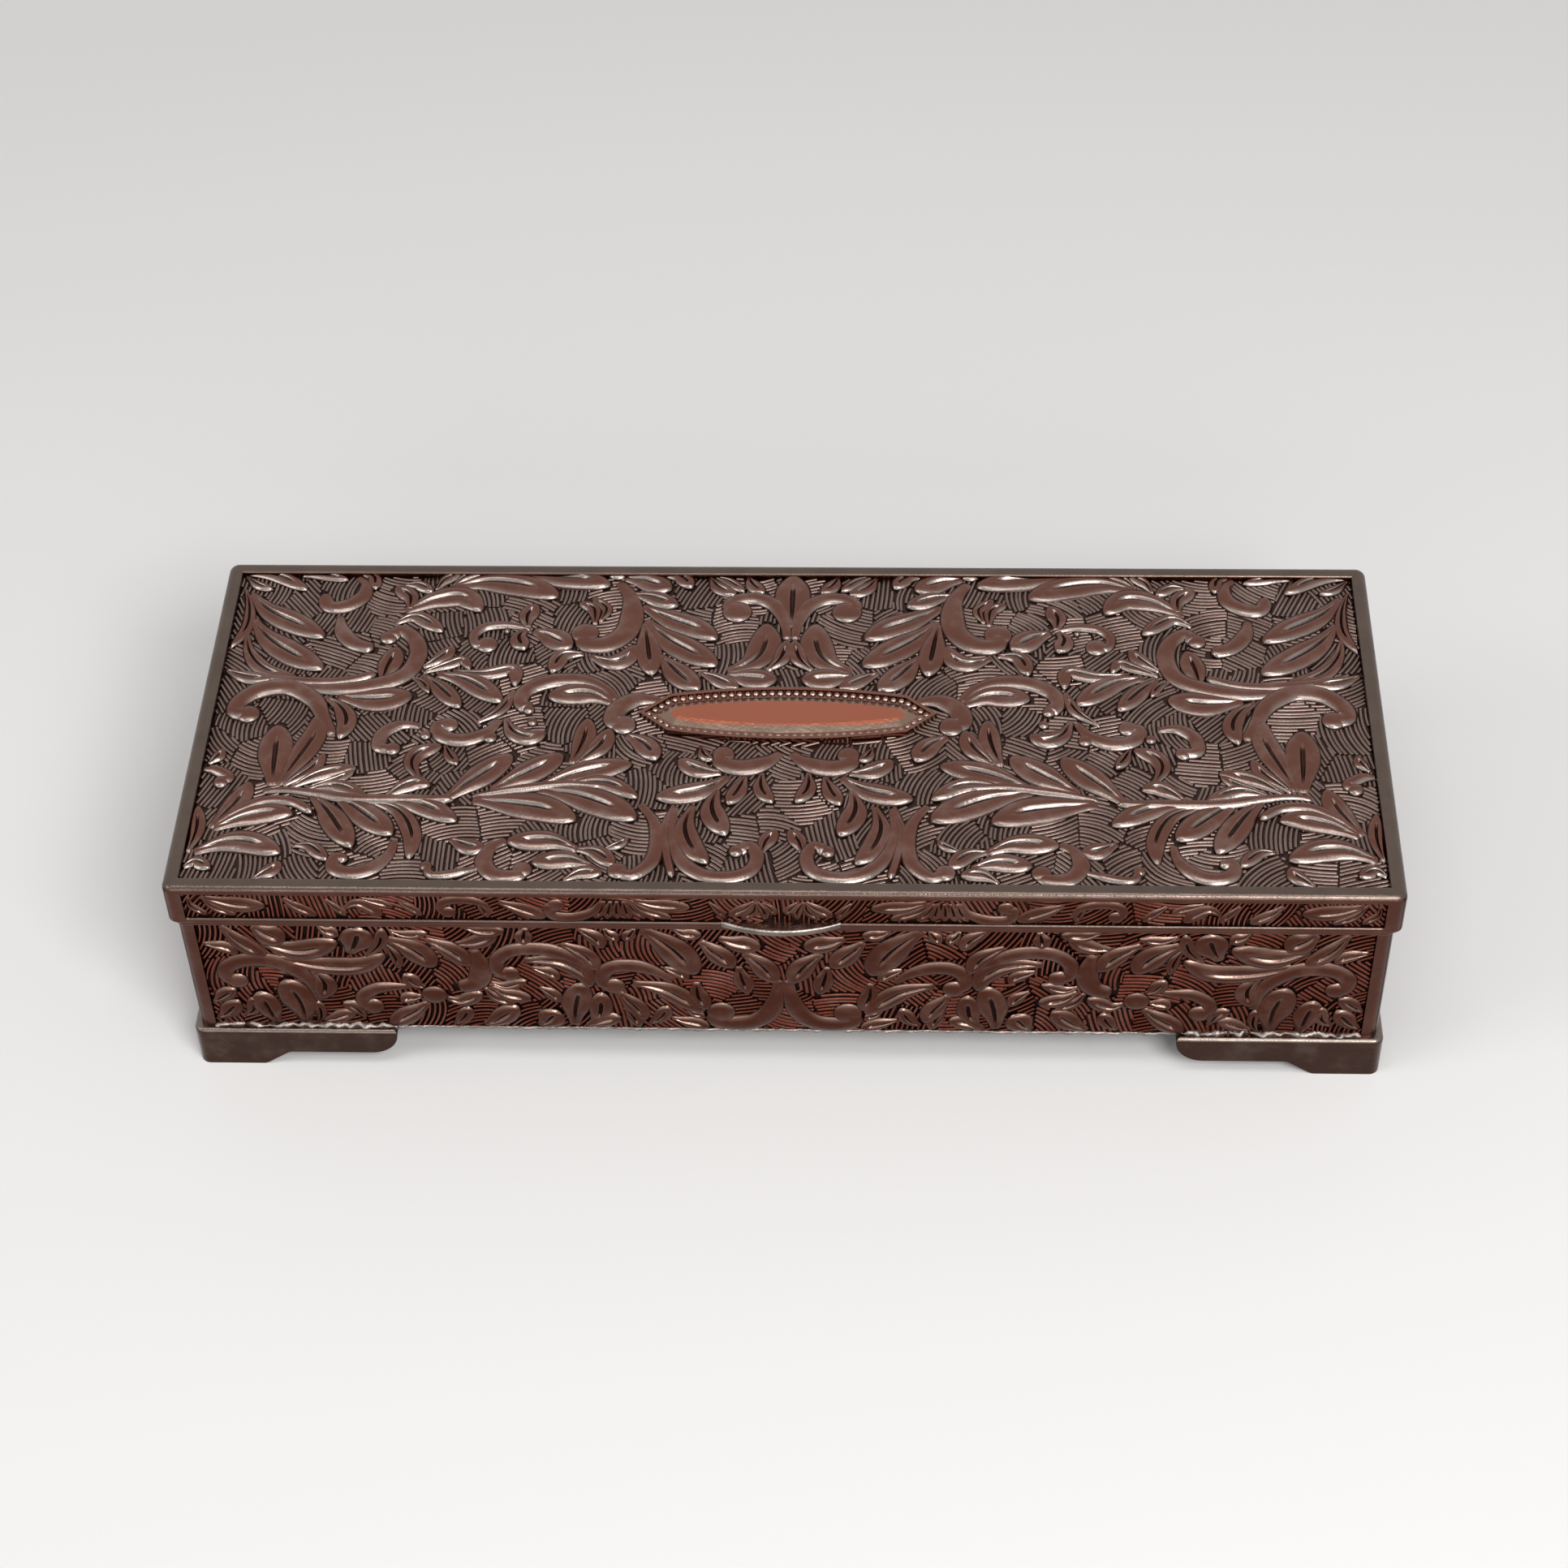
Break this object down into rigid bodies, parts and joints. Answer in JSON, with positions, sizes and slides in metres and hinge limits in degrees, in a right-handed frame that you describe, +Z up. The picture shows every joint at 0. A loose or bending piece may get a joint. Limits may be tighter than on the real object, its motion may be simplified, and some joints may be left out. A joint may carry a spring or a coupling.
{
  "type": "turkish delight box",
  "caption": "Long, low cast-metal sweets box on bracket feet, with a carved hinged lid, a thumb lip, a blank name plate and a cloth-lined inside.",
  "frame": {"origin": "on the surface that the feet stand on, at the middle of the footprint, thumb lip and hinge heels included", "axes": "+X along the box, to the right seen from the front; +Y from the thumb lip to the hinges; +Z up"},
  "size_m": [0.2286, 0.0932, 0.0508],
  "materials": {
    "cast_metal": "antiqued silver plate on a cast white-metal body, dark in the recesses",
    "hinge_metal": "plated, a little dulled",
    "velvet": "dark red velvet",
    "card": "plain grey-brown board",
    "felt": "black felt"
  },
  "bodies": {
    "base": {"base_body": "cast_metal", "front_carved_panel": "cast_metal", "rear_carved_panel": "cast_metal", "left_carved_panel": "cast_metal", "right_carved_panel": "cast_metal", "foot_front_left": "cast_metal", "foot_front_right": "cast_metal", "foot_rear_left": "cast_metal", "foot_rear_right": "cast_metal", "underside_felt": "felt", "floor_card": "card", "floor_pad": "velvet", "lining_front": "velvet", "lining_rear": "velvet", "lining_left": "velvet", "lining_right": "velvet", "hinge_left_base_leaf": "hinge_metal", "hinge_right_base_leaf": "hinge_metal", "hinge_left_pin": "hinge_metal", "hinge_right_pin": "hinge_metal", "base_leaf_rivets": "hinge_metal"},
    "lid": {"lid_shell": "cast_metal", "thumb_lip": "cast_metal", "name_plate": "cast_metal", "lid_carved_panel": "cast_metal", "lid_card": "card", "lid_pad": "velvet", "hinge_left_lid_leaf": "hinge_metal", "hinge_right_lid_leaf": "hinge_metal", "lid_leaf_rivets": "hinge_metal"}
  },
  "joints": [
    {"name": "lid_hinge", "type": "hinge", "parent": "base", "child": "lid", "pos_m": [0, 0.04485, 0.0412], "axis": [-1, 0, 0], "range_deg": [0, 103]}
  ]
}
